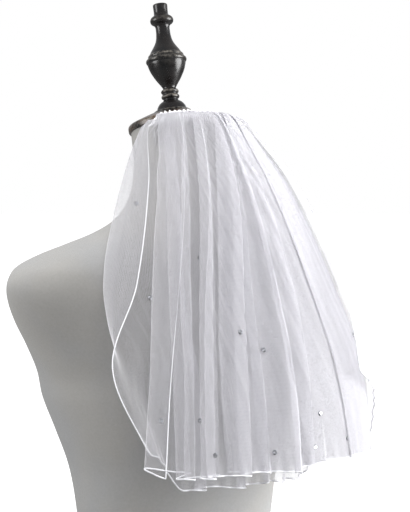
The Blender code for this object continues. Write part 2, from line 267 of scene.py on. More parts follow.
# ---------------------------------------------------------------- node tools
class Board:
    """A node tree being wired up."""

    def __init__(self, tree: bpy.types.NodeTree) -> None:
        """Take an empty tree."""
        self.tree = tree
        tree.nodes.clear()

    def node(self, kind: str, **settings: object) -> bpy.types.Node:
        """Add a node, with its settings given by name.

        Args:
            kind: The node's type.
            settings: The node's settings.

        Returns:
            The node.
        """
        made = self.tree.nodes.new(kind)
        for key, value in settings.items():
            setattr(made, key, value)
        return made

    def feed(self, target: bpy.types.NodeSocket, source: object) -> None:
        """Link a socket to a socket, or set it to a value.

        Args:
            target: The socket to feed.
            source: A socket or a value.
        """
        if isinstance(source, bpy.types.NodeSocket):
            self.tree.links.new(source, target)
        elif isinstance(source, (tuple, list)) and target.type == "RGBA":
            target.default_value = (*source[:3], 1.0)
        else:
            target.default_value = source

    def math(self, operation: str, *values: object, clamp: bool = False) -> bpy.types.NodeSocket:
        """A Math node's result.

        Args:
            operation: The node's operation.
            values: Values or sockets.
            clamp: True to hold the result from 0 to 1.

        Returns:
            The result.
        """
        made = self.node("ShaderNodeMath", operation=operation, use_clamp=clamp)
        for socket, value in zip(made.inputs, values):
            self.feed(socket, value)
        return made.outputs[0]

    def scale(self, vector: object, factors: Sequence[float]) -> bpy.types.NodeSocket:
        """A vector with its three parts multiplied.

        Args:
            vector: The places.
            factors: One factor for each part.

        Returns:
            The result.
        """
        made = self.node("ShaderNodeVectorMath", operation="MULTIPLY")
        self.feed(made.inputs[0], vector)
        self.feed(made.inputs[1], tuple(factors))
        return made.outputs[0]

    def noise(self, vector: object, scale: float, detail: float = 2.0) -> bpy.types.NodeSocket:
        """The value of a Noise texture.

        Args:
            vector: The places.
            scale: Cells in a metre.
            detail: How many sizes are added up.

        Returns:
            The result.
        """
        made = self.node("ShaderNodeTexNoise")
        self.feed(made.inputs["Vector"], vector)
        self.feed(made.inputs["Scale"], scale)
        self.feed(made.inputs["Detail"], detail)
        return made.outputs["Fac"]

    def span(
        self, value: object, low: float, high: float, to_low: float, to_high: float
    ) -> bpy.types.NodeSocket:
        """A value moved from one range to another and held inside it.

        Args:
            value: The value or socket.
            low: The value that gives to_low.
            high: The value that gives to_high.
            to_low: The lowest result.
            to_high: The highest result.

        Returns:
            The result.
        """
        made = self.node("ShaderNodeMapRange")
        for socket, number in zip(made.inputs, (value, low, high, to_low, to_high)):
            self.feed(socket, number)
        return made.outputs[0]

    def blend(self, share: object, first: object, second: object) -> bpy.types.NodeSocket:
        """Two colours mixed by a share.

        Args:
            share: How much of the second shows.
            first: Taken where share is 0.
            second: Taken where share is 1.

        Returns:
            The result.
        """
        made = self.node("ShaderNodeMix", data_type="RGBA")
        self.feed(made.inputs["Factor"], share)
        self.feed(made.inputs[6], first)
        self.feed(made.inputs[7], second)
        return made.outputs[2]

    def bump(self, height: object, strength: float, distance: float) -> bpy.types.NodeSocket:
        """A normal raised by a height.

        Args:
            height: The height.
            strength: How strongly it shows.
            distance: The height of a full step, in metres.

        Returns:
            The result.
        """
        made = self.node("ShaderNodeBump")
        self.feed(made.inputs["Strength"], strength)
        self.feed(made.inputs["Distance"], distance)
        self.feed(made.inputs["Height"], height)
        return made.outputs["Normal"]

    def principled(self, values: dict[str, object]) -> bpy.types.NodeSocket:
        """A Principled shader, its inputs given by name.

        Args:
            values: The shader's inputs.

        Returns:
            The result.
        """
        made = self.node("ShaderNodeBsdfPrincipled")
        for key, value in values.items():
            self.feed(made.inputs[key], value)
        return made.outputs[0]

    def mix(self, share: object, first: object, second: object) -> bpy.types.NodeSocket:
        """Two shaders mixed by a share.

        Args:
            share: How much of the second shows.
            first: Taken where share is 0.
            second: Taken where share is 1.

        Returns:
            The result.
        """
        made = self.node("ShaderNodeMixShader")
        for socket, value in zip(made.inputs, (share, first, second)):
            self.feed(socket, value)
        return made.outputs[0]

    def multiplied(self, vector: object, factor: object) -> bpy.types.NodeSocket:
        """A vector or colour times one number.

        Args:
            vector: The places.
            factor: The number.

        Returns:
            The result.
        """
        made = self.node("ShaderNodeVectorMath", operation="SCALE")
        self.feed(made.inputs[0], vector)
        self.feed(made.inputs["Scale"], factor)
        return made.outputs[0]

    def value_of(self, name: str) -> bpy.types.NodeSocket:
        """The number stored on the mesh under a name."""
        return self.node("ShaderNodeAttribute", attribute_name=name).outputs["Fac"]

    def surface(self, shader: bpy.types.NodeSocket) -> None:
        """Put a shader on the surface."""
        self.feed(self.node("ShaderNodeOutputMaterial").inputs["Surface"], shader)

    def group(self, tree: bpy.types.NodeTree, **values: object) -> bpy.types.Node:
        """Place a shared effect, its inputs given by name.

        Args:
            tree: The effect.
            values: The effect's inputs.

        Returns:
            The node.
        """
        made = self.node("ShaderNodeGroup", node_tree=tree)
        for key, value in values.items():
            self.feed(made.inputs[key], value)
        return made


def new_effect(
    name: str, inputs: Sequence[tuple[str, str, object]], outputs: Sequence[tuple[str, str]]
) -> tuple[Board, bpy.types.Node, bpy.types.Node]:
    """Start a shared effect.

    Args:
        name: The effect's name.
        inputs: Name, socket kind and usual value of each input.
        outputs: Name and socket kind of each output.

    Returns:
        The board to build on, the group's input node and its output node.
    """
    tree = bpy.data.node_groups.new(name, "ShaderNodeTree")
    for label, kind, value in inputs:
        socket = tree.interface.new_socket(label, in_out="INPUT", socket_type=kind)
        if value is not None:
            socket.default_value = value
    for label, kind in outputs:
        tree.interface.new_socket(label, in_out="OUTPUT", socket_type=kind)
    board = Board(tree)
    return board, board.node("NodeGroupInput"), board.node("NodeGroupOutput")


FLOAT, VECTOR = "NodeSocketFloat", "NodeSocketVector"
WALE_TURN = 6.2832
COURSE_TURN = 8.4
FIBRE_SPREAD = 6.0


def make_mottle() -> bpy.types.NodeTree:
    """Uneven tone at two sizes: Vector, Size and Contrast in, Tone out.

    Returns:
        The effect.
    """
    board, given, put = new_effect(
        "mottle",
        (("Vector", VECTOR, None), ("Size", FLOAT, 40.0), ("Contrast", FLOAT, 0.1)),
        (("Tone", FLOAT),),
    )
    coarse = board.node("ShaderNodeTexNoise")
    fine = board.node("ShaderNodeTexNoise")
    for texture, factor, detail in ((coarse, 1.0, 3.0), (fine, 9.0, 2.0)):
        board.feed(texture.inputs["Vector"], given.outputs["Vector"])
        board.feed(texture.inputs["Scale"], board.math("MULTIPLY", given.outputs["Size"], factor))
        board.feed(texture.inputs["Detail"], detail)
    both = board.math("ADD", coarse.outputs["Fac"], fine.outputs["Fac"])
    offset = board.math("SUBTRACT", both, 1.0)
    board.feed(put.inputs["Tone"], board.math("MULTIPLY_ADD", offset, given.outputs["Contrast"], 1.0))
    return board.tree


def make_knit() -> bpy.types.NodeTree:
    """Fine jersey ribs: Vector and Gauge in, Height out.

    Returns:
        The effect.
    """
    board, given, put = new_effect(
        "knit", (("Vector", VECTOR, None), ("Gauge", FLOAT, 900.0)), (("Height", FLOAT),)
    )
    parts = board.node("ShaderNodeSeparateXYZ")
    board.feed(parts.inputs[0], given.outputs["Vector"])
    waves = []
    for axis, turns in (("X", WALE_TURN), ("Y", COURSE_TURN)):
        pace = board.math("MULTIPLY", given.outputs["Gauge"], turns)
        waves.append(board.math("SINE", board.math("MULTIPLY", parts.outputs[axis], pace)))
    wale, course = waves
    height = board.math("MULTIPLY_ADD", wale, 0.6, board.math("MULTIPLY", course, 0.4))
    board.feed(put.inputs["Height"], height)
    return board.tree


def make_streaks() -> bpy.types.NodeTree:
    """Soft creases that run down the cloth: Vector and Width in, Value out.

    Returns:
        The effect.
    """
    board, given, put = new_effect(
        "streaks", (("Vector", VECTOR, None), ("Width", FLOAT, 120.0)), (("Value", FLOAT),)
    )
    texture = board.node("ShaderNodeTexNoise")
    board.feed(texture.inputs["Vector"], board.scale(given.outputs["Vector"], (1.0, 0.06, 1.0)))
    board.feed(texture.inputs["Scale"], given.outputs["Width"])
    board.feed(texture.inputs["Detail"], 3.0)
    board.feed(put.inputs["Value"], texture.outputs["Fac"])
    return board.tree


def make_net() -> bpy.types.NodeTree:
    """The net's threads round its holes: Vector and Holes in, Threads out.

    Returns:
        The effect.
    """
    board, given, put = new_effect(
        "net", (("Vector", VECTOR, None), ("Holes", FLOAT, 800.0)), (("Threads", FLOAT),)
    )
    cells = board.node("ShaderNodeTexVoronoi", feature="DISTANCE_TO_EDGE")
    board.feed(cells.inputs["Vector"], given.outputs["Vector"])
    board.feed(cells.inputs["Scale"], given.outputs["Holes"])
    board.feed(cells.inputs["Randomness"], 0.35)
    board.feed(put.inputs["Threads"], board.span(cells.outputs["Distance"], 0.04, 0.22, 1.0, 0.0))
    return board.tree


def make_fibres() -> bpy.types.NodeTree:
    """Normals of round threads too fine to model: Vector, Size and Turn in, Normal out.

    Returns:
        The effect.
    """
    board, given, put = new_effect(
        "fibres",
        (("Vector", VECTOR, None), ("Size", FLOAT, 2500.0), ("Turn", FLOAT, 1.0)),
        (("Normal", VECTOR),),
    )
    texture = board.node("ShaderNodeTexNoise")
    board.feed(texture.inputs["Vector"], given.outputs["Vector"])
    board.feed(texture.inputs["Scale"], given.outputs["Size"])
    board.feed(texture.inputs["Detail"], 1.0)
    centred = board.node("ShaderNodeVectorMath", operation="SUBTRACT")
    board.feed(centred.inputs[0], texture.outputs["Color"])
    board.feed(centred.inputs[1], (0.5, 0.5, 0.5))
    spread = board.math("MULTIPLY", given.outputs["Turn"], FIBRE_SPREAD)
    both = board.node("ShaderNodeVectorMath", operation="ADD")
    board.feed(both.inputs[0], board.multiplied(centred.outputs[0], spread))
    board.feed(both.inputs[1], board.node("ShaderNodeNewGeometry").outputs["Normal"])
    even = board.node("ShaderNodeVectorMath", operation="NORMALIZE")
    board.feed(even.inputs[0], both.outputs[0])
    board.feed(put.inputs["Normal"], even.outputs[0])
    return board.tree


@dataclass(frozen=True)
class Effects:
    """The shared effects, built once."""

    mottle: bpy.types.NodeTree
    knit: bpy.types.NodeTree
    streaks: bpy.types.NodeTree
    net: bpy.types.NodeTree
    fibres: bpy.types.NodeTree


def make_effects() -> Effects:
    """Build every shared effect."""
    return Effects(make_mottle(), make_knit(), make_streaks(), make_net(), make_fibres())


def new_material(name: str) -> tuple[bpy.types.Material, Board]:
    """An empty material and the board to wire it on.

    Args:
        name: The name.

    Returns:
        The material and its board.
    """
    material = bpy.data.materials.new(name)
    material.use_nodes = True
    return material, Board(material.node_tree)


def cloth_places(board: Board) -> bpy.types.NodeSocket:
    """Places along the cloth in metres."""
    return board.node("ShaderNodeUVMap", uv_map="cloth").outputs["UV"]


def object_places(board: Board) -> bpy.types.NodeSocket:
    """Places in the part's own frame in metres."""
    return board.node("ShaderNodeTexCoord").outputs["Object"]


# ------------------------------------------------------------------ finishes
@dataclass(frozen=True)
class Tulle:
    """Sheer white net: how much of a layer is thread, seen square on."""

    name: str
    colour: tuple[float, float, float] = (0.938, 0.931, 0.972)
    # Paler colour laid along the streaks: a painted highlight on the soft creases.
    pale: tuple[float, float, float] = (0.945, 0.938, 0.975)
    cover: float = 0.25
    holes: float = 760.0
    glow: float = 0.5
    turn: float = 2.2
    edge_on: float = 0.07
    streak_width: float = 150.0

    def cover_of(
        self, board: Board, effects: Effects, place: bpy.types.NodeSocket
    ) -> bpy.types.NodeSocket:
        """How much of one flat layer is thread, from place to place.

        Args:
            board: The board.
            effects: The shared effects.
            place: Places along the cloth.

        Returns:
            The result.
        """
        net = board.group(effects.net, Vector=place, Holes=self.holes).outputs["Threads"]
        streaks = board.group(effects.streaks, Vector=place, Width=self.streak_width).outputs["Value"]
        cover = board.math("MULTIPLY", board.span(net, 0.0, 1.0, 0.86, 1.2), self.cover)
        return board.math("MULTIPLY", cover, board.span(streaks, 0.3, 0.7, 0.95, 1.05))

    def build(self, effects: Effects) -> bpy.types.Material:
        """Make the material.

        Args:
            effects: The shared effects.

        Returns:
            The material.
        """
        material, board = new_material(self.name)
        place = cloth_places(board)
        facing = board.node("ShaderNodeLayerWeight").outputs["Facing"]
        slant = board.math("MAXIMUM", board.math("SUBTRACT", 1.0, facing), self.edge_on)
        layers = board.math("DIVIDE", board.value_of("fullness"), slant)
        bare = board.math("SUBTRACT", 1.0, self.cover_of(board, effects, place))
        shown = board.math("SUBTRACT", 1.0, board.math("POWER", bare, layers), clamp=True)
        streaks = board.group(effects.streaks, Vector=place, Width=self.streak_width).outputs["Value"]
        tone = board.group(effects.mottle, Vector=place, Size=9.0, Contrast=0.03).outputs["Tone"]
        # The streaks blend in the paler colour, a painted highlight along the soft creases.
        lit = board.multiplied(board.blend(streaks, self.colour, self.pale), tone)
        loose = board.math("SUBTRACT", 1.0, board.value_of("crisp"))
        turn = board.math("MULTIPLY", loose, self.turn)
        fibres = board.group(effects.fibres, Vector=object_places(board), Turn=turn)
        normal = fibres.outputs["Normal"]
        thread = board.principled({"Base Color": lit, "Roughness": 0.62, "Normal": normal})
        through = board.node("ShaderNodeBsdfTranslucent")
        board.feed(through.inputs["Color"], lit)
        board.feed(through.inputs["Normal"], normal)
        gap = board.node("ShaderNodeBsdfTransparent").outputs[0]
        board.surface(board.mix(shown, gap, board.mix(self.glow, thread, through.outputs[0])))
        return material


@dataclass(frozen=True)
class Thread:
    """Whipped white thread, as on the corded edges and the heading."""

    name: str
    colour: tuple[float, float, float]
    twist: float
    shadow: float = 0.82

    def build(self) -> bpy.types.Material:
        """Make the material.

        Returns:
            The material.
        """
        material, board = new_material(self.name)
        place = cloth_places(board)
        wraps = board.node("ShaderNodeTexWave", wave_type="BANDS", bands_direction="DIAGONAL")
        board.feed(wraps.inputs["Vector"], place)
        board.feed(wraps.inputs["Scale"], self.twist)
        board.feed(wraps.inputs["Distortion"], 1.2)
        dark = tuple(self.shadow * part for part in self.colour)
        shade = board.blend(wraps.outputs["Fac"], dark, self.colour)
        board.surface(board.principled({
            "Base Color": shade, "Roughness": 0.55, "Sheen Weight": 0.3,
            "Normal": board.bump(wraps.outputs["Fac"], 0.5, 0.0003),
        }))
        return material


@dataclass(frozen=True)
class Jersey:
    """The form's knitted cover."""

    name: str = "grey_jersey"
    colour: tuple[float, float, float] = (0.236, 0.236, 0.235)
    warm: tuple[float, float, float] = (0.250, 0.244, 0.232)

    def build(self, effects: Effects) -> bpy.types.Material:
        """Make the material.

        Args:
            effects: The shared effects.

        Returns:
            The material.
        """
        material, board = new_material(self.name)
        place = cloth_places(board)
        around = object_places(board)
        patches = board.span(board.noise(around, 9.0, 3.0), 0.42, 0.62, 0.0, 1.0)
        tone = board.group(effects.mottle, Vector=around, Size=34.0, Contrast=0.07).outputs["Tone"]
        specks = board.group(effects.mottle, Vector=around, Size=420.0, Contrast=0.16).outputs["Tone"]
        shade = board.blend(patches, self.colour, self.warm)
        knit = board.group(effects.knit, Vector=place, Gauge=780.0).outputs["Height"]
        board.surface(board.principled({
            "Base Color": board.multiplied(shade, board.math("MULTIPLY", tone, specks)),
            "Roughness": 0.9, "Sheen Weight": 0.15, "Normal": board.bump(knit, 0.35, 0.0002),
        }))
        return material


@dataclass(frozen=True)
class AgedBronze:
    """Dark bronze paint, worn pale on its crests and brown in patches."""

    name: str
    colour: tuple[float, float, float] = (0.0045, 0.0045, 0.0048)
    worn: tuple[float, float, float] = (0.11, 0.10, 0.085)
    brown: tuple[float, float, float] = (0.050, 0.026, 0.013)
    brownness: float = 0.06

    def build(self) -> bpy.types.Material:
        """Make the material.

        Returns:
            The material.
        """
        material, board = new_material(self.name)
        around = object_places(board)
        crest = board.value_of("crest")
        rub = board.noise(around, 260.0, 4.0)
        worn = board.math("MULTIPLY", crest, board.span(rub, 0.40, 0.62, 0.0, 1.0), clamp=True)
        specks = board.span(board.noise(around, 900.0, 2.0), 0.68, 0.76, 0.0, 0.18)
        worn = board.math("MAXIMUM", worn, specks)
        brown = board.span(board.noise(around, 46.0, 3.0), 0.40, 0.66, 0.0, self.brownness)
        base = board.blend(brown, self.colour, self.brown)
        board.surface(board.principled({
            "Base Color": board.blend(worn, base, self.worn),
            "Roughness": board.span(rub, 0.3, 0.7, 0.17, 0.34),
            "Specular IOR Level": 0.3, "Coat Weight": 0.06, "Coat Roughness": 0.18,
            "Normal": board.bump(rub, 0.25, 0.0004),
        }))
        return material


@dataclass(frozen=True)
class Wire:
    """The comb's dull silvery wire."""

    name: str = "comb_wire"

    def build(self, effects: Effects) -> bpy.types.Material:
        """Make the material.

        Args:
            effects: The shared effects.

        Returns:
            The material.
        """
        material, board = new_material(self.name)
        place = object_places(board)
        tone = board.group(effects.mottle, Vector=place, Size=180.0, Contrast=0.3).outputs["Tone"]
        board.surface(board.principled({
            "Base Color": board.blend(tone, (0.16, 0.16, 0.17), (0.36, 0.36, 0.37)),
            "Metallic": 1.0, "Roughness": board.span(tone, 0.8, 1.2, 0.28, 0.45),
        }))
        return material


@dataclass(frozen=True)
class Crystal:
    """A foiled glass stone; each flat's base colour is a painted reflection, darker or lighter from flat
    to flat.
    """

    name: str = "rhinestone"

    def build(self, effects: Effects) -> bpy.types.Material:
        """Make the material.

        Args:
            effects: The shared effects.

        Returns:
            The material.
        """
        material, board = new_material(self.name)
        # The stored value of each flat sets a painted reflection in the base colour, from dark to light.
        flats = board.value_of("flat")
        tone = board.group(effects.mottle, Vector=object_places(board), Size=600.0, Contrast=0.2)
        shade = board.math("MULTIPLY", flats, tone.outputs["Tone"], clamp=True)
        board.surface(board.principled({
            "Base Color": board.blend(shade, (0.06, 0.06, 0.07), (0.80, 0.81, 0.85)),
            "Metallic": 0.75, "Roughness": 0.12, "Coat Weight": 1.0, "Coat Roughness": 0.02,
        }))
        return material


@dataclass(frozen=True)
class StudioFloor:
    """The floor: a dark grey finish with a painted glow that only the camera sees, weaker near the form
    and white further out.
    """

    name: str = "studio_floor"
    # Strength of the painted glow near and far, and the distances over which it rises.
    lift: tuple[float, float] = (0.50, 0.97)
    reach: tuple[float, float] = (0.5, 1.2)

    def build(self, effects: Effects) -> bpy.types.Material:
        """Make the material.

        Args:
            effects: The shared effects.

        Returns:
            The material.
        """
        material, board = new_material(self.name)
        place = object_places(board)
        tone = board.group(effects.mottle, Vector=place, Size=1.5, Contrast=0.01).outputs["Tone"]
        # Painted glow for camera rays only, rising from half near the form to nearly white further out.
        seen = board.node("ShaderNodeLightPath").outputs["Is Camera Ray"]
        away = board.node("ShaderNodeVectorMath", operation="LENGTH")
        board.feed(away.inputs[0], place)
        lift = board.span(away.outputs["Value"], *self.reach, *self.lift)
        board.surface(board.principled({
            "Base Color": board.blend(tone, (0.25, 0.25, 0.25), (0.26, 0.26, 0.26)),
            "Roughness": 0.8, "Emission Color": (1.0, 1.0, 1.0),
            "Emission Strength": board.math("MULTIPLY", seen, lift),
        }))
        return material


# ------------------------------------------------------------- the dress form
class Section(NamedTuple):
    """One level of the torso, in metres and degrees."""

    height: float
    half_width: float
    back: float
    front: float
    square: float
    tip: float


SECTIONS = (
    Section(0.000, 0.146, 0.108, 0.096, 2.2, 0),
    Section(0.010, 0.152, 0.114, 0.101, 2.2, 0),
    Section(0.045, 0.155, 0.120, 0.102, 2.2, 0),
    Section(0.095, 0.141, 0.106, 0.093, 2.2, 0),
    Section(0.140, 0.118, 0.088, 0.081, 2.2, 0),
    Section(0.180, 0.107, 0.080, 0.076, 2.2, 0),
    Section(0.225, 0.110, 0.083, 0.079, 2.2, 0),
    Section(0.270, 0.117, 0.089, 0.089, 2.2, 0),
    Section(0.310, 0.1305, 0.095, 0.101, 2.2, 0),
    Section(0.345, 0.143, 0.099, 0.112, 2.2, 0),
    Section(0.372, 0.149, 0.102, 0.114, 2.2, 0),
    Section(0.402, 0.165, 0.105, 0.108, 2.1, 0),
    Section(0.430, 0.183, 0.105, 0.096, 2.0, 0),
    Section(0.455, 0.194, 0.104, 0.084, 2.0, 0),
    Section(0.472, 0.195, 0.103, 0.077, 2.0, 0),
    Section(0.486, 0.187, 0.101, 0.071, 2.0, 0),
    Section(0.498, 0.163, 0.098, 0.066, 2.0, 0),
    Section(0.509, 0.130, 0.094, 0.061, 2.0, 0),
    Section(0.520, 0.099, 0.090, 0.056, 2.0, 1),
    Section(0.533, 0.075, 0.082, 0.050, 2.0, 3),
    Section(0.551, 0.059, 0.073, 0.043, 2.0, 6),
    Section(0.573, 0.051, 0.064, 0.038, 2.0, 9),
    Section(0.600, 0.047, 0.055, 0.039, 2.0, 12),
)


@dataclass
class DressForm:
    """The limbless form, covered with jersey."""

    material: bpy.types.Material
    neck_radius: float = 0.0465
    sides: int = 144
    rows_per_section: int = 6

    def section_points(self, row: Section, turn: Points) -> Points:
        """The points of one level, from angles round it.

        Args:
            row: The level.
            turn: Angles round it.

        Returns:
            The values.
        """
        middle = (row.front - row.back) / 2
        depth = (row.front + row.back) / 2
        tip = math.radians(row.tip)
        power = 2 / row.square
        across = np.sign(np.cos(turn)) * np.abs(np.cos(turn)) ** power
        along = np.sign(np.sin(turn)) * np.abs(np.sin(turn)) ** power * depth
        return np.stack(
            (
                row.half_width * across,
                middle + along * math.cos(tip),
                row.height - along * math.sin(tip),
            ),
            axis=-1,
        )

    def build(self) -> bpy.types.Object:
        """Make the form's surface, smooth between its levels and closed flat below.

        Returns:
            The new piece.
        """
        turn = np.arange(self.sides) * 2 * math.pi / self.sides
        levels = [self.section_points(row, turn) for row in SECTIONS]
        levels.append(on_neck(turn + math.pi / 2, self.neck_radius, -CAP_HALF_RIM - GAP))
        levels = np.array(levels)
        knots = np.concatenate(
            ([0.0], np.cumsum(np.linalg.norm(np.diff(levels, axis=0), axis=2).mean(axis=1)))
        )
        at = np.interp(
            np.arange((len(levels) - 1) * self.rows_per_section + 1) / self.rows_per_section,
            np.arange(len(levels)),
            knots,
        )
        points = smooth_read(knots, levels, at)
        rows = len(points)
        reach = np.linalg.norm(np.diff(points, axis=1, append=points[:, :1]), axis=2)
        round_it = np.concatenate((np.zeros((rows, 1)), np.cumsum(reach, axis=1)[:, :-1]), axis=1)
        uv = np.stack(np.broadcast_arrays(round_it, at[:, None]), axis=-1)
        faces = closed_faces(rows, self.sides)
        form = make_mesh("form", points, faces, self.material, uv=uv.reshape(-1, 2), sharp=50)
        face_outwards(form)
        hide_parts("torso")
        LOG.info("form: %d points", len(form.data.vertices))
        return form


class Turning(NamedTuple):
    """One ring of a turned outline, and how worn it is."""

    height: float
    radius: float
    worn: float


@dataclass
class Fittings:
    """The cap on the neck and the urn finial on the cap."""

    bronze: bpy.types.Material
    cap_bronze: bpy.types.Material
    steps: int = 72
    finial_rows: tuple[Turning, ...] = (
        Turning(0.1215, 0.0000, 0.0),
        Turning(0.1215, 0.0066, 0.1),
        Turning(0.1211, 0.0076, 0.4),
        Turning(0.1200, 0.0079, 0.2),
        Turning(0.1150, 0.0077, 0.0),
        Turning(0.1100, 0.0078, 0.0),
        Turning(0.1083, 0.0088, 0.0),
        Turning(0.1064, 0.0114, 0.1),
        Turning(0.1034, 0.0127, 0.2),
        Turning(0.1004, 0.0119, 0.0),
        Turning(0.0986, 0.0096, 0.0),
        Turning(0.0968, 0.0080, 0.0),
        Turning(0.0930, 0.0076, 0.0),
        Turning(0.0850, 0.0081, 0.0),
        Turning(0.0790, 0.0096, 0.0),
        Turning(0.0735, 0.0126, 0.0),
        Turning(0.0690, 0.0156, 0.0),
        Turning(0.0655, 0.0176, 0.1),
        Turning(0.0644, 0.0188, 0.6),
        Turning(0.0630, 0.0194, 0.7),
        Turning(0.0616, 0.0194, 0.1),
        Turning(0.0606, 0.0205, 0.2),
        Turning(0.0596, 0.0217, 0.3),
        Turning(0.0580, 0.0221, 0.5),
        Turning(0.0564, 0.0216, 0.2),
        Turning(0.0552, 0.0207, 0.0),
        Turning(0.0540, 0.0206, 0.1),
        Turning(0.0470, 0.0184, 0.0),
        Turning(0.0385, 0.0140, 0.0),
        Turning(0.0320, 0.0097, 0.0),
        Turning(0.0280, 0.0073, 0.0),
        Turning(0.0263, 0.0072, 0.0),
        Turning(0.0252, 0.0088, 0.4),
        Turning(0.0238, 0.0096, 0.9),
        Turning(0.0224, 0.0093, 0.4),
        Turning(0.0207, 0.0081, 0.0),
        Turning(0.0192, 0.0093, 0.4),
        Turning(0.0178, 0.0098, 0.9),
        Turning(0.0164, 0.0094, 0.3),
        Turning(0.0148, 0.0078, 0.0),
        Turning(0.0132, 0.0086, 0.0),
        Turning(0.0104, 0.0124, 0.0),
        Turning(0.0064, 0.0152, 0.0),
        Turning(0.0030, 0.0163, 0.0),
        Turning(0.0020, 0.0190, 0.3),
        Turning(0.0012, 0.0200, 0.7),
        Turning(0.0004, 0.0200, 0.2),
        Turning(0.0004, 0.0000, 0.0),
    )
    cap_rows: tuple[Turning, ...] = (
        Turning(0.0150, 0.0000, 0.0),
        Turning(0.0150, 0.0215, 0.1),
        Turning(0.0144, 0.0235, 0.3),
        Turning(0.0120, 0.0300, 0.1),
        Turning(0.0086, 0.0380, 0.0),
        Turning(0.0056, 0.0450, 0.1),
        Turning(0.0040, 0.0480, 0.5),
        Turning(0.0026, 0.0489, 0.9),
        Turning(0.0008, 0.0490, 0.4),
        Turning(-0.0010, 0.0489, 0.3),
        Turning(-0.0024, 0.0486, 0.8),
        Turning(-0.0029, 0.0478, 0.3),
        Turning(-0.0029, 0.0000, 0.0),
    )

    def turn(
        self, name: str, rows: Sequence[Turning], foot: float, between: int, material: bpy.types.Material
    ) -> bpy.types.Object:
        """Turn an outline round the neck axis.

        Args:
            name: The piece's name.
            rows: The outline, top to bottom, from the axis back to the axis.
            foot: Height of the outline's zero above the cap rim's middle.
            between: Steps between two rows.
            material: The piece's finish.

        Returns:
            The new piece.
        """
        knots = np.arange(len(rows))
        at = np.linspace(0, len(rows) - 1, (len(rows) - 1) * between + 1)
        outline = np.array(rows)
        far = lengths_along(outline[:, :2])
        read = smooth_read(far, outline, np.interp(at, knots, far))
        read[:, 1] = np.maximum(read[:, 1], 0.0)
        inner = read[1:-1]
        angle = np.arange(self.steps) * 2 * math.pi / self.steps
        rings = on_neck(angle[None, :], inner[:, 1:2], foot + inner[:, 0:1])
        ends = on_neck(np.zeros(2), np.zeros(2), foot + read[[0, -1], 0])
        points = np.concatenate((rings.reshape(-1, 3), ends))
        count = len(inner) * self.steps
        faces = [tuple(face) for face in grid_faces(len(inner), self.steps, wrap=True)]
        for k in range(self.steps):
            after = (k + 1) % self.steps
            low = count - self.steps
            faces.append((count, after, k))
            faces.append((count + 1, low + k, low + after))
        piece = make_mesh(name, points, faces, material, sharp=60)
        face_outwards(piece)
        worn = np.concatenate((np.repeat(inner[:, 2], self.steps), (0.0, 0.0)))
        add_values(piece, "crest", np.clip(worn, 0.0, 1.0))
        return piece

    def build(self) -> None:
        """Make the cap and the finial."""
        cap = self.turn("cap", self.cap_rows, 0.0, 3, self.cap_bronze)
        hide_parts("neck_cap")
        finial = self.turn("urn_finial", self.finial_rows, CAP_TOP + GAP, 3, self.bronze)
        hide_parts("finial")
        count = len(cap.data.vertices) + len(finial.data.vertices)
        LOG.info("fittings: cap and finial, %d points", count)


# ------------------------------------------------------------------- the veil
@dataclass
class WireComb:
    """A curved comb of bent wire: hairpin teeth bound to a spine."""

    wire: bpy.types.Material
    radius: float = 0.0504
    wire_radius: float = 0.00045
    half_angle: float = 55.5
    teeth: int = 18
    top: float = -0.0014
    tip: float = -0.0275
    tip_pull: float = 0.0018

    def build(self) -> bpy.types.Object:
        """Make the comb as one long bent wire and a coil along its spine.

        Returns:
            The new piece.
        """
        half = math.radians(self.half_angle)
        step = 2 * half / self.teeth
        height: list[float] = []
        angle: list[float] = []
        for tooth in range(self.teeth):
            start = -half + tooth * step
            for share, level in (
                (0.06, self.top), (0.10, -0.006), (0.16, -0.015), (0.22, -0.025),
                (0.32, self.tip), (0.42, -0.025), (0.48, -0.015), (0.54, -0.006), (0.58, self.top),
                (0.70, self.top + 0.0004), (0.88, self.top + 0.0004),
            ):
                height.append(level)
                angle.append(start + share * step)
        heights, angles = np.array(height), np.array(angle)
        pull = self.tip_pull * ramp(self.top - heights, self.top - self.tip)
        zigzag = on_neck(angles, self.radius - pull, heights)
        knots = np.arange(len(zigzag))
        fine = smooth_read(knots, zigzag, np.linspace(0, len(zigzag) - 1, len(zigzag) * 3))
        coil = np.linspace(0, 1, 1400)
        turns = coil * 2 * math.pi * 90
        spine = on_neck(
            (2 * coil - 1) * half,
            self.radius + 0.0002 + 0.0007 * np.cos(turns),
            -0.0034 + 0.0016 * np.sin(turns),
        )
        points: list[Points] = []
        faces: list[tuple] = []
        for route, thick in ((fine, self.wire_radius), (spine, 0.0002)):
            base = sum(len(part) for part in points)
            got, quads, _ = tube(route, thick, 6)
            points.append(got)
            faces.extend(tuple(int(k) + base for k in face) for face in quads)
        comb = make_mesh("wire_comb", np.concatenate(points), faces, self.wire)
        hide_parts("comb")
        LOG.info("comb: %d points", len(comb.data.vertices))
        return comb


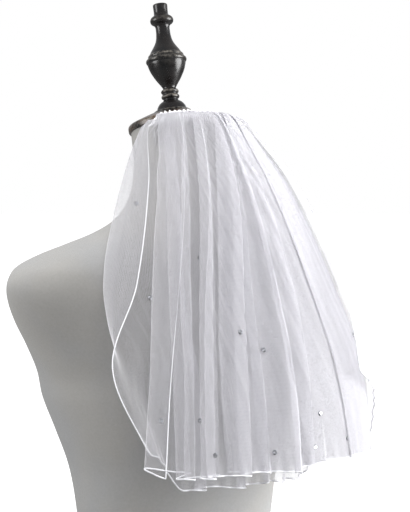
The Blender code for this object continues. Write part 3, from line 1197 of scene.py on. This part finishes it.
@dataclass
class Heading:
    """The gathered seam allowance that stands along the comb."""

    tulle: bpy.types.Material
    radius: float = 0.0527
    thickness: float = 0.0020
    half_angle: float = 57.5
    gathers: int = 44
    foot: float = -0.0072
    top: float = 0.0048

    def build(self) -> bpy.types.Object:
        """Make the ruffle: narrow gathers, tight at the stitch and open above it.

        Returns:
            The new piece.
        """
        columns = self.gathers * 10 + 1
        across = np.linspace(-1, 1, columns)
        phase = (across + 1) * math.pi * self.gathers
        uneven = 0.5 * np.sin(phase * 0.37 + 1.3) + 0.5 * np.sin(phase * 0.113)
        levels = np.linspace(0, 1, 12)
        open_up = 0.35 + 0.65 * levels**1.5
        wave = np.sin(phase + 0.8 * uneven)
        crown = 0.0009 * np.sin(phase * 0.5 + uneven) + 0.0006 * uneven
        sheets = []
        for side in (1.0, -1.0):
            radius = (
                self.radius
                + side * self.thickness / 2 * (1 - 0.35 * levels[:, None] ** 2)
                + 0.0005 * open_up[:, None] * wave[None, :]
            )
            tall = (self.top - self.foot + crown) * (0.12 + 0.88 * ramp(1.0 - np.abs(across), 0.28))
            height = self.foot + levels[:, None] * tall[None, :]
            sheets.append(on_neck(np.radians(self.half_angle) * across[None, :], radius, height))
        outer, inner = sheets
        ring = np.concatenate((outer, inner[::-1]), axis=0)
        points = np.transpose(ring, (1, 0, 2)).reshape(-1, 3)
        faces = closed_faces(columns, len(ring))
        uv = np.stack(
            np.broadcast_arrays(
                across[:, None] * 0.16, np.concatenate((levels, 1 + levels))[None, :] * 0.012
            ),
            axis=-1,
        )
        heading = make_mesh("gathered_heading", points, faces, self.tulle, uv=uv.reshape(-1, 2))
        face_outwards(heading)
        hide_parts("heading")
        LOG.info("heading: %d points", len(points))
        return heading


class Fall(NamedTuple):
    """Where a tier hangs at one share of its length."""

    share: float
    height: float
    side: float
    back: float


FALLS = (
    Fall(0.00, 0.6425, 0.0548, 0.0548),
    Fall(0.03, 0.6480, 0.0610, 0.0610),
    Fall(0.08, 0.6400, 0.0745, 0.0725),
    Fall(0.16, 0.6140, 0.0950, 0.0885),
    Fall(0.28, 0.5700, 0.1245, 0.1120),
    Fall(0.42, 0.5160, 0.1510, 0.1330),
    Fall(0.57, 0.4560, 0.1760, 0.1500),
    Fall(0.72, 0.3950, 0.1990, 0.1650),
    Fall(0.86, 0.3350, 0.2105, 0.1760),
    Fall(1.00, 0.2740, 0.2140, 0.1850),
)


class Fold(NamedTuple):
    """One fold line: angles at six places down, stand-out and drop in mm."""

    comb: float
    crown: float
    nape: float
    blade: float
    waist: float
    hem: float
    mid: float
    low: float
    drop: float


PLACES = (0.0, 0.12, 0.28, 0.56, 0.78, 1.0)
OUTER_FOLDS = (
    Fold(-24.0, -21, -21.8, -25.5, -28.0, -29.3, 10, 10, -2),
    Fold(-34.0, -29, -28.5, -30.2, -31.0, -32.0, 9, 9, -6),
    Fold(-46.0, -38, -35.0, -34.5, -34.0, -35.0, 3, 3, -12),
    Fold(-41.0, -33, -28.0, -27.0, -26.0, -27.0, -5, -5, -6),
    Fold(-35.0, -28, -24.5, -23.5, -22.5, -22.5, -7, -7, -4),
    Fold(-33.0, -33, -30.8, -28.8, -27.4, -26.5, -1, -1, 0),
    Fold(-28.0, -26, -25.0, -24.6, -24.0, -24.0, 4, 5, 0),
    Fold(-20.0, -19, -19.6, -21.0, -20.9, -21.2, 5, 6, 1),
    Fold(-19.0, -21, -23.0, -24.6, -23.8, -24.0, 0, 0, 0),
    Fold(-16.0, -14, -14.5, -16.0, -17.5, -18.0, -4, -4, 0),
    Fold(-12.5, -7, -8.0, -11.0, -12.5, -13.0, -3, -3, -1),
    Fold(-12.0, -12.5, -14.4, -17.6, -18.9, -19.2, 3, 3, 0),
    Fold(-9.0, -9, -11.5, -15.8, -16.8, -17.2, 6, 7, 1),
    Fold(-7.0, -6, -8.5, -13.0, -14.6, -15.0, 7, 8, 1),
    Fold(-6.0, -6, -9.0, -15.2, -17.2, -17.6, 2, 2, 0),
    Fold(-2.0, -2, -4.0, -9.5, -11.5, -12.0, 1, 1, 0),
    Fold(2.0, 3, 1.0, -4.5, -6.5, -7.5, 5, 6, 0),
    Fold(7.0, 10, 6.5, -0.2, -2.4, -3.4, 7, 8, 1),
    Fold(7.5, 7, 3.2, -3.8, -6.0, -6.6, 2, 2, 0),
    Fold(8.0, 9, 5.5, 0.3, -0.6, -1.0, 1, 1, -1),
    Fold(9.0, 11, 8.2, 3.8, 3.6, 3.4, 5, 6, 0),
    Fold(9.5, 10, 6.5, 1.2, 0.6, 0.2, 0, 0, -1),
    Fold(11.0, 12, 10.5, 8.0, 7.0, 6.5, 2, 3, 0),
    Fold(13.0, 14.2, 13.2, 13.0, 13.4, 12.4, 12, 13, 1),
    Fold(13.4, 12.8, 11.8, 11.8, 12.2, 11.2, 9, 10, 1),
    Fold(13.8, 14.3, 13.3, 13.1, 13.5, 12.5, 6, 7, 1),
    Fold(15.0, 10, 9.0, 8.0, 7.0, 6.0, -4, -4, -1),
    Fold(17.0, 6, -3.0, -9.0, -11.0, -10.0, -6, -6, -2),
    Fold(20.5, 14, 11.0, 12.0, 13.0, 14.0, -9, -9, -2),
    Fold(26.0, 25, 26.0, 27.0, 27.0, 26.5, -4, -4, -3),
    Fold(27.0, 17, 15.8, 15.8, 15.6, 14.8, 2, 3, -2),
    Fold(29.0, 20, 19.6, 19.4, 18.4, 17.2, 5, 6, -3),
    Fold(30.3, 22.5, 22.2, 22.0, 20.4, 19.0, 6, 7, -3),
    Fold(30.8, 20.5, 19.8, 19.2, 17.2, 16.0, 2, 2, -3),
    Fold(32.5, 26, 27.0, 29.0, 29.0, 30.0, 3, 4, -4),
    Fold(34.0, 31, 33.0, 36.0, 38.0, 41.0, -1, -1, -4),
    Fold(35.0, 27, 27.0, 27.5, 27.0, 28.0, -6, -6, -6),
    Fold(39.0, 33, 33.5, 35.0, 36.0, 39.0, -9, -9, -3),
    Fold(42.0, 39, 41.0, 44.0, 46.0, 49.0, 0, 0, -4),
    Fold(43.0, 31, 28.5, 30.5, 32.5, 35.0, 4, 4, -5),
    Fold(47.0, 42, 42.0, 43.0, 44.5, 47.0, 3, 3, -3),
    Fold(50.0, 48, 49.0, 51.5, 53.0, 55.0, -2, -2, -2),
    Fold(51.0, 44, 43.0, 44.0, 45.0, 47.0, -6, -6, -7),
    Fold(54.0, 52, 52.5, 53.5, 54.5, 55.0, -6, -6, -9),
    Fold(57.0, 59, 60.0, 61.0, 61.0, 60.0, -2, -2, -12),
    Fold(58.5, 55, 53.0, 51.0, 51.0, 52.0, 4, 4, -62),
    Fold(59.5, 49, 44.0, 40.0, 37.0, 37.0, 8, 8, -95),
)
INNER_FOLDS = (
    Fold(-50.5, -46, -40.0, -40.0, -45.0, -34.5, 10, 10, -40),
    Fold(-50.0, -51, -49.0, -48.0, -43.5, -33.0, 9, 6, -36),
    Fold(-49.0, -55, -55.0, -52.5, -41.5, -31.0, 0, 0, -30),
    Fold(-45.0, -43, -39.0, -35.0, -35.0, -28.5, -4, -4, -14),
    Fold(-40.0, -38, -34.0, -30.0, -28.5, -25.0, 0, 0, 0),
    Fold(-34.0, -32, -28.0, -25.5, -22.5, -21.0, 1, 1, 1),
    Fold(-28.0, -27, -24.0, -22.0, -17.5, -16.5, 3, 4, 2),
    Fold(-25.0, -26, -25.5, -24.5, -20.5, -20.0, -1, -1, 0),
    Fold(-19.0, -18, -17.0, -16.0, -13.0, -13.0, -3, -3, 0),
    Fold(-10.0, -10, -9.5, -9.0, -7.5, -7.0, 1, 1, 2),
    Fold(-2.0, -2, -2.0, -1.5, -2.0, -2.0, 3, 4, 3),
    Fold(0.0, -2, -3.5, -4.5, -4.5, -4.5, -1, -1, 1),
    Fold(8.0, 6, 5.0, 5.0, 3.5, 2.0, -3, -3, 1),
    Fold(16.0, 15, 14.0, 13.0, 10.0, 7.0, 2, 3, 0),
    Fold(20.5, 17, 14.5, 12.5, 9.5, 6.5, -3, -3, -2),
    Fold(28.0, 27, 25.5, 23.5, 17.0, 13.0, 2, 3, 1),
    Fold(36.0, 33, 30.0, 27.0, 18.0, 14.0, -3, -3, -2),
    Fold(44.0, 42, 41.0, 38.5, 24.0, 18.5, 2, 3, 0),
    Fold(52.0, 50, 49.5, 46.0, 27.0, 20.5, -3, -3, -3),
    Fold(59.0, 58, 57.5, 53.0, 30.0, 22.5, 1, 2, -8),
)
STANDS_AT = (0.0, 0.12, 0.55, 1.0)
CROWN_STAND = 0.4
BODY_FROM = 0.3
SIDE_ANGLE = 60
COMB_TILT = 0.0490 * math.sin(LEAN)
TILT_ENDS_AT = 0.3


class Stone(NamedTuple):
    """Where a rhinestone sits on its tier: fold place and share of length."""

    place: float
    share: float


@dataclass
class Tier:
    """One tier of tulle with its corded edge."""

    name: str
    folds: tuple[Fold, ...]
    tulle: bpy.types.Material
    thread: bpy.types.Material
    flat: tuple[float, float]
    inside_back: float
    inside_side: float
    sink: float
    hem_drop: float
    seed: float
    bunching: tuple[tuple[float, float], ...]
    crispness: tuple[tuple[float, float], ...]
    cord_from: float
    per_fold: int = 12
    rows: int = 150
    cord_radius: float = 0.00078
    cord_start: int = 6
    cord_fade: float = 0.35
    near_cord: tuple[float, float] = (0.12, 0.68)
    far_cord: tuple[float, float] = (0.45, 0.3)

    def bare_points(self, place: Points, share: Points) -> Points:
        """Points of the tier's main folds, from fold places and shares of length.

        Args:
            place: Places across the folds.
            share: Shares of the length.

        Returns:
            The values.
        """
        folds = np.array(self.folds, float)
        knots = np.arange(len(folds))
        cross = smooth_read(knots, folds, place)
        lines = smooth_read(PLACES, folds[:, : len(PLACES)].T, share)
        degrees = np.array([smooth_read(knots, line, place) for line in lines])
        stands = np.stack(
            (np.zeros(len(folds)), CROWN_STAND * folds[:, 6], folds[:, 6], folds[:, 7])
        )
        stand = np.array(
            [smooth_read(knots, line, place) for line in smooth_read(STANDS_AT, stands, share)]
        ) / 1000
        hem = cross[:, 8] / 1000 + self.hem_drop
        falls = np.array(FALLS)
        read = smooth_read(falls[:, 0], falls[:, 1:], share)
        height, side, back = (read[:, k][:, None] for k in range(3))
        down = np.asarray(share)[:, None]
        to_side = np.sin(np.pi / 2 * np.minimum(np.abs(degrees) / SIDE_ANGLE, 1.0)) ** 2
        inside = self.inside_side * to_side + self.inside_back * (1 - to_side)
        radius = side * to_side + back * (1 - to_side) - inside * ramp(down, BODY_FROM) + stand
        angle = np.radians(degrees)
        height = height - COMB_TILT * (1 - np.cos(angle)) * (1 - ramp(down, TILT_ENDS_AT))
        height = height - self.sink * (1 - ramp(down, BODY_FROM)) - hem[None, :] * down**1.5
        return np.stack((radius * np.sin(angle), -radius * np.cos(angle), height), axis=-1)

    def crumple(self, width: Points, down: Points) -> Points:
        """How far small creases lift the cloth, from places across and down it.

        Args:
            width: Places across the cloth, in metres.
            down: Places down the cloth, in metres.

        Returns:
            The values.
        """
        seed = self.seed
        wander = 0.006 * np.sin(11 * down + seed) + 0.004 * np.sin(23 * down + 2.1 * seed)
        across = width + wander
        lift = 0.0
        for wave, size, phase in ((0.026, 0.50, 0.7), (0.0155, 0.26, 2.9), (0.0090, 0.09, 4.4)):
            drift = phase + seed + 1.4 * np.sin(7 * down / 0.4 + phase + seed)
            fade = 0.55 + 0.45 * np.sin(across / (wave * 3.7) + 5 * down + phase)
            lift = lift + size * fade * np.sin(2 * np.pi * across / wave + drift)
        return lift / 1000

    def build(self) -> bpy.types.Object:
        """Make the tier and its cord, and log its cloth area and hem length.

        Returns:
            The new piece.
        """
        columns = (len(self.folds) - 1) * self.per_fold + 1
        place = np.linspace(0, len(self.folds) - 1, columns)
        share = np.linspace(0, 1, self.rows) ** 1.12
        points = self.bare_points(place, share)
        step = np.linalg.norm(np.diff(points, axis=1), axis=2)
        row_width = np.concatenate((np.zeros((self.rows, 1)), np.cumsum(step, axis=1)), axis=1)
        width = row_width / row_width[:, -1:] * row_width[-1, -1]
        down = np.broadcast_to(share[:, None] * self.flat[1], width.shape)
        points = points + self.normals(points) * self.rough(width, down, share)[..., None]
        uv = np.stack((width, down), axis=-1)
        tier = make_mesh(
            self.name, points, grid_faces(self.rows, columns), self.tulle, uv=uv.reshape(-1, 2)
        )
        fullness = np.clip(self.flat[0] / row_width[:, -1:], 1.0, 6.0) ** 0.5
        bunched = np.interp(place / (len(self.folds) - 1), *zip(*self.bunching))
        add_values(tier, "fullness", fullness * bunched)
        crisp = np.interp(place, *zip(*self.crispness))
        add_values(tier, "crisp", np.broadcast_to(crisp, width.shape))
        cord = self.build_cord(points)
        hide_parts(self.name.replace("veil_", ""))
        area = sum(polygon.area for polygon in tier.data.polygons)
        LOG.info("%s: %.3f m2 of cloth, hem %.3f m", self.name, area, row_width[-1, -1])
        return tier

    @staticmethod
    def normals(points: Points) -> Points:
        """Unit normals of a grid of points, pointing away from the form.

        Args:
            points: The points.

        Returns:
            The values.
        """
        across = np.gradient(points, axis=1)
        down = np.gradient(points, axis=0)
        normal = np.cross(down, across)
        return normal / np.maximum(np.linalg.norm(normal, axis=-1, keepdims=True), 1e-9)

    def rough(self, width: Points, down: Points, share: Points) -> Points:
        """All the small relief: gathers at the top, creases, a fluttering hem.

        Args:
            width: Places across the cloth, in metres.
            down: Places down the cloth, in metres.
            share: Shares of the length, one for each row.

        Returns:
            The values.
        """
        top = np.asarray(share)[:, None]
        gathers = 0.0007 * np.sin(width / 0.0105 * 2 * np.pi + 1.6 * np.sin(width / 0.07 + self.seed))
        gathers = gathers * (1 - ramp(top, 0.22)) * ramp(top + 0.004, 0.02)
        flutter = 0.0009 * np.sin(width / 0.0135 * 2 * np.pi + 2.2 * np.sin(width / 0.05 + self.seed))
        flutter = flutter * np.exp(-(1 - top) / 0.02)
        return gathers + flutter + self.crumple(width, down) * ramp(top - 0.05, 0.2)

    def build_cord(self, points: Points) -> bpy.types.Object:
        """Make the whipped cord down one side, along the hem and up the other.

        Args:
            points: The points.

        Returns:
            The new piece.
        """
        start = self.cord_start
        route = np.concatenate((points[start:, 0], points[-1, 1:-1], points[start:, -1][::-1]))
        shown = ramp(np.linspace(0, 1, self.rows) - self.cord_from, self.cord_fade)[start:]
        near = self.cord_radius * (self.near_cord[0] + self.near_cord[1] * shown)
        far = self.cord_radius * (self.far_cord[0] + self.far_cord[1] * shown)
        hem = np.full(points.shape[1] - 2, self.cord_radius)
        thick = np.concatenate((near, hem, far[::-1]))
        length = lengths_along(route)
        even = np.arange(0, length[-1], 0.0016)
        route = np.stack([np.interp(even, length, route[:, k]) for k in range(3)], axis=-1)
        places, faces, uv = tube(route, np.interp(even, length, thick), 7)
        cord = make_mesh(self.name + "_cord", places, faces, self.thread, uv=uv)
        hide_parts(self.name.replace("veil_", "") + "_edge")
        return cord


@dataclass
class Stones:
    """Flat-backed rhinestones glued to one tier."""

    crystal: bpy.types.Material
    tier: Tier
    places: tuple[Stone, ...]
    radius: float = 0.0027
    table: float = 0.55
    height: float = 0.0020
    flats: int = 8

    def build(self, name: str) -> bpy.types.Object:
        """Make all of this tier's stones as one piece.

        Args:
            name: The piece's name.

        Returns:
            The new piece.
        """
        points: list[tuple] = []
        faces: list[tuple] = []
        painted_facet_light: list[float] = []
        for number, stone in enumerate(self.places):
            near = 0.01
            place = np.array([stone.place - near, stone.place, stone.place + near])
            share = np.array([stone.share - near, stone.share, stone.share + near])
            patch = self.tier.bare_points(place, share)
            middle = Vector(patch[1, 1])
            across = Vector(patch[1, 2] - patch[1, 0]).normalized()
            down = Vector(patch[2, 1] - patch[0, 1])
            normal = down.cross(across).normalized()
            down = across.cross(normal)
            base = len(points)
            spin = number * 0.7
            for ring, (radius, lift) in enumerate(
                ((self.radius, 0.0006), (self.radius, 0.0009), (self.radius * self.table, self.height))
            ):
                for k in range(self.flats):
                    turn = spin + (k + 0.5 * (ring == 2)) * 2 * math.pi / self.flats
                    point = middle + across * math.cos(turn) * radius + down * math.sin(turn) * radius
                    points.append(tuple(point + normal * lift))
                    # Each flat gets a painted reflection, its brightness set by a fixed pattern.
                    painted_facet_light.append(0.08 + 0.72 * (((k * 5 + number * 3 + ring) % 7) / 6) ** 1.6)
            low, mid, top = (base + k * self.flats for k in range(3))
            for k in range(self.flats):
                after = (k + 1) % self.flats
                faces.append((low + k, low + after, mid + after, mid + k))
                faces.append((mid + k, mid + after, top + k))
                faces.append((mid + after, top + after, top + k))
            faces.append(tuple(top + k for k in range(self.flats)))
            faces.append(tuple(low + k for k in range(self.flats))[::-1])
        stones = make_mesh(name, np.array(points), faces, self.crystal, sharp=8)
        face_outwards(stones)
        add_values(stones, "flat", np.array(painted_facet_light))
        LOG.info("%s: %d stones", name, len(self.places))
        return stones


OUTER_STONES = (
    Stone(11.1, 0.47), Stone(16.4, 0.66), Stone(21.8, 0.71), Stone(0.7, 0.87), Stone(11.2, 0.865),
    Stone(12.8, 0.945), Stone(33.6, 0.88), Stone(21.9, 0.955), Stone(33.4, 0.96), Stone(39.0, 0.955),
    Stone(36.4, 0.45), Stone(40.5, 0.70), Stone(43.0, 0.84),
)
INNER_STONES = (
    Stone(0.5, 0.34), Stone(2.9, 0.575), Stone(12.7, 0.94), Stone(17.5, 0.55), Stone(18.6, 0.82),
)


# ---------------------------------------------------------------- the studio
class Lamp(Enum):
    """The studio's soft lamps: bearing from the camera, distance, height, size, power."""

    RIGHT = (99, 1.9, 0.75, 1.5, 88.0)
    LEFT = (-108, 1.9, 0.85, 1.1, 29.0)
    TOP = (172, 0.9, 2.30, 1.4, 54.0)


@dataclass
class Studio:
    """The floor, the lamps and the camera."""

    floor: bpy.types.Material
    target: tuple[float, float, float] = (0.0296, -0.0157, 0.493)
    bearing: float = 28.0
    above: float = 3.5
    distance: float = 2.0
    lens: float = 130.2

    def build_floor(self) -> None:
        """Lay a wide round floor that ends out of sight."""
        turn = np.arange(96) * 2 * math.pi / 96
        rings = [
            np.stack((r * np.cos(turn), r * np.sin(turn), np.full(96, -0.0004)), axis=-1)
            for r in (0.4, 1.2, 4.0, 14.0)
        ]
        faces = [tuple(face) for face in grid_faces(4, 96, wrap=True)]
        faces.append(tuple(range(96)))
        mesh = bpy.data.meshes.new("studio_floor")
        mesh.from_pydata(np.concatenate(rings).tolist(), [], [tuple(int(k) for k in f) for f in faces])
        mesh.materials.append(self.floor)
        floor = bpy.data.objects.new("studio_floor", mesh)
        bpy.context.scene.collection.objects.link(floor)

    def build_lamps(self) -> None:
        """Hang the soft lamps round the form, all aimed at its middle."""
        aim = Vector((0.0, -0.03, 0.45))
        for lamp in Lamp:
            turn, away, height, size, power = lamp.value
            angle = math.radians(turn + self.bearing)
            light = bpy.data.lights.new(lamp.name.lower() + "_lamp", "AREA")
            light.shape = "DISK"
            light.size = size
            light.energy = power
            obj = bpy.data.objects.new(light.name, light)
            obj.location = (away * math.sin(angle), away * math.cos(angle), height)
            obj.rotation_euler = (aim - obj.location).to_track_quat("-Z", "Y").to_euler()
            obj.visible_glossy = lamp is not Lamp.TOP
            bpy.context.scene.collection.objects.link(obj)

    def build_world(self) -> None:
        """Fill the room with even light in front of a white wall."""
        world = bpy.data.worlds.new("studio")
        world.use_nodes = True
        board = Board(world.node_tree)
        fill = board.node("ShaderNodeBackground")
        board.feed(fill.inputs["Color"], (0.97, 0.98, 1.0))
        board.feed(fill.inputs["Strength"], 0.61)
        wall = board.node("ShaderNodeBackground")
        board.feed(wall.inputs["Strength"], 1.0)
        both = board.node("ShaderNodeMixShader")
        board.feed(both.inputs[0], board.node("ShaderNodeLightPath").outputs["Is Camera Ray"])
        board.feed(both.inputs[1], fill.outputs[0])
        board.feed(both.inputs[2], wall.outputs[0])
        board.feed(wall.inputs["Color"], (1.0, 1.0, 1.0))
        board.feed(board.node("ShaderNodeOutputWorld").inputs["Surface"], both.outputs[0])
        bpy.context.scene.world = world

    def build_camera(self) -> None:
        """Set the camera behind the form, to its left, a little above."""
        bearing, above = math.radians(self.bearing), math.radians(self.above)
        look = Vector((
            math.sin(bearing) * math.cos(above),
            math.cos(bearing) * math.cos(above),
            -math.sin(above),
        ))
        data = bpy.data.cameras.new("camera")
        data.lens = self.lens
        data.sensor_width = 36.0
        camera = bpy.data.objects.new("camera", data)
        camera.location = Vector(self.target) - look * self.distance
        camera.rotation_euler = look.to_track_quat("-Z", "Y").to_euler()
        bpy.context.scene.collection.objects.link(camera)
        bpy.context.scene.camera = camera

    def build(self) -> None:
        """Build the whole studio."""
        self.build_camera()
        self.build_floor()
        self.build_lamps()
        self.build_world()
        scene = bpy.context.scene
        scene.view_settings.view_transform = "Standard"
        scene.cycles.transparent_max_bounces = 48


def main() -> None:
    """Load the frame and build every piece."""
    logging.basicConfig(level=logging.INFO, format="%(name)s %(message)s")
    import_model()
    effects = make_effects()
    thread = Thread("edge_thread", (0.66, 0.66, 0.69), 520.0).build()
    gathered = Thread("gathered_tulle", (0.88, 0.88, 0.90), 260.0).build()
    bronze = AgedBronze("aged_bronze").build()
    cap_bronze = AgedBronze("aged_cap_bronze", brownness=1.0).build()
    crystal = Crystal().build(effects)

    Studio(StudioFloor().build(effects)).build()
    DressForm(Jersey().build(effects)).build()
    Fittings(bronze, cap_bronze).build()
    WireComb(Wire().build(effects)).build()
    Heading(gathered).build()
    outer = Tier(
        "veil_outer_tier", OUTER_FOLDS, Tulle("outer_tulle", cover=0.29).build(effects), thread,
        flat=(0.80, 0.42), inside_back=0.0, inside_side=0.0, sink=0.0, hem_drop=-0.012, seed=0.4,
        cord_from=0.6,
        bunching=(
            (0.0, 0.5), (0.10, 0.55), (0.18, 0.7), (0.30, 0.85), (0.40, 1.3),
            (0.48, 1.9), (0.60, 2.2), (0.9, 2.2), (1.0, 1.2),
        ),
        crispness=((22.4, 0.0), (22.8, 0.7), (23.2, 0.7), (23.6, 0.0)),
    )
    outer.build()
    inner = Tier(
        "veil_inner_tier", INNER_FOLDS, Tulle("inner_tulle", cover=0.32).build(effects), thread,
        flat=(0.32, 0.43), inside_back=0.018, inside_side=0.013, sink=0.0055, hem_drop=0.002,
        seed=2.2, cord_from=0.1, bunching=((0.0, 0.8), (0.2, 0.9), (0.5, 1.1), (1.0, 1.5)),
        crispness=((0, 0.0), (1, 0.0)),
    )
    inner.build()
    Stones(crystal, outer, OUTER_STONES).build("outer_stones")
    Stones(crystal, inner, INNER_STONES).build("inner_stones")


if __name__ == "__main__":
    main()
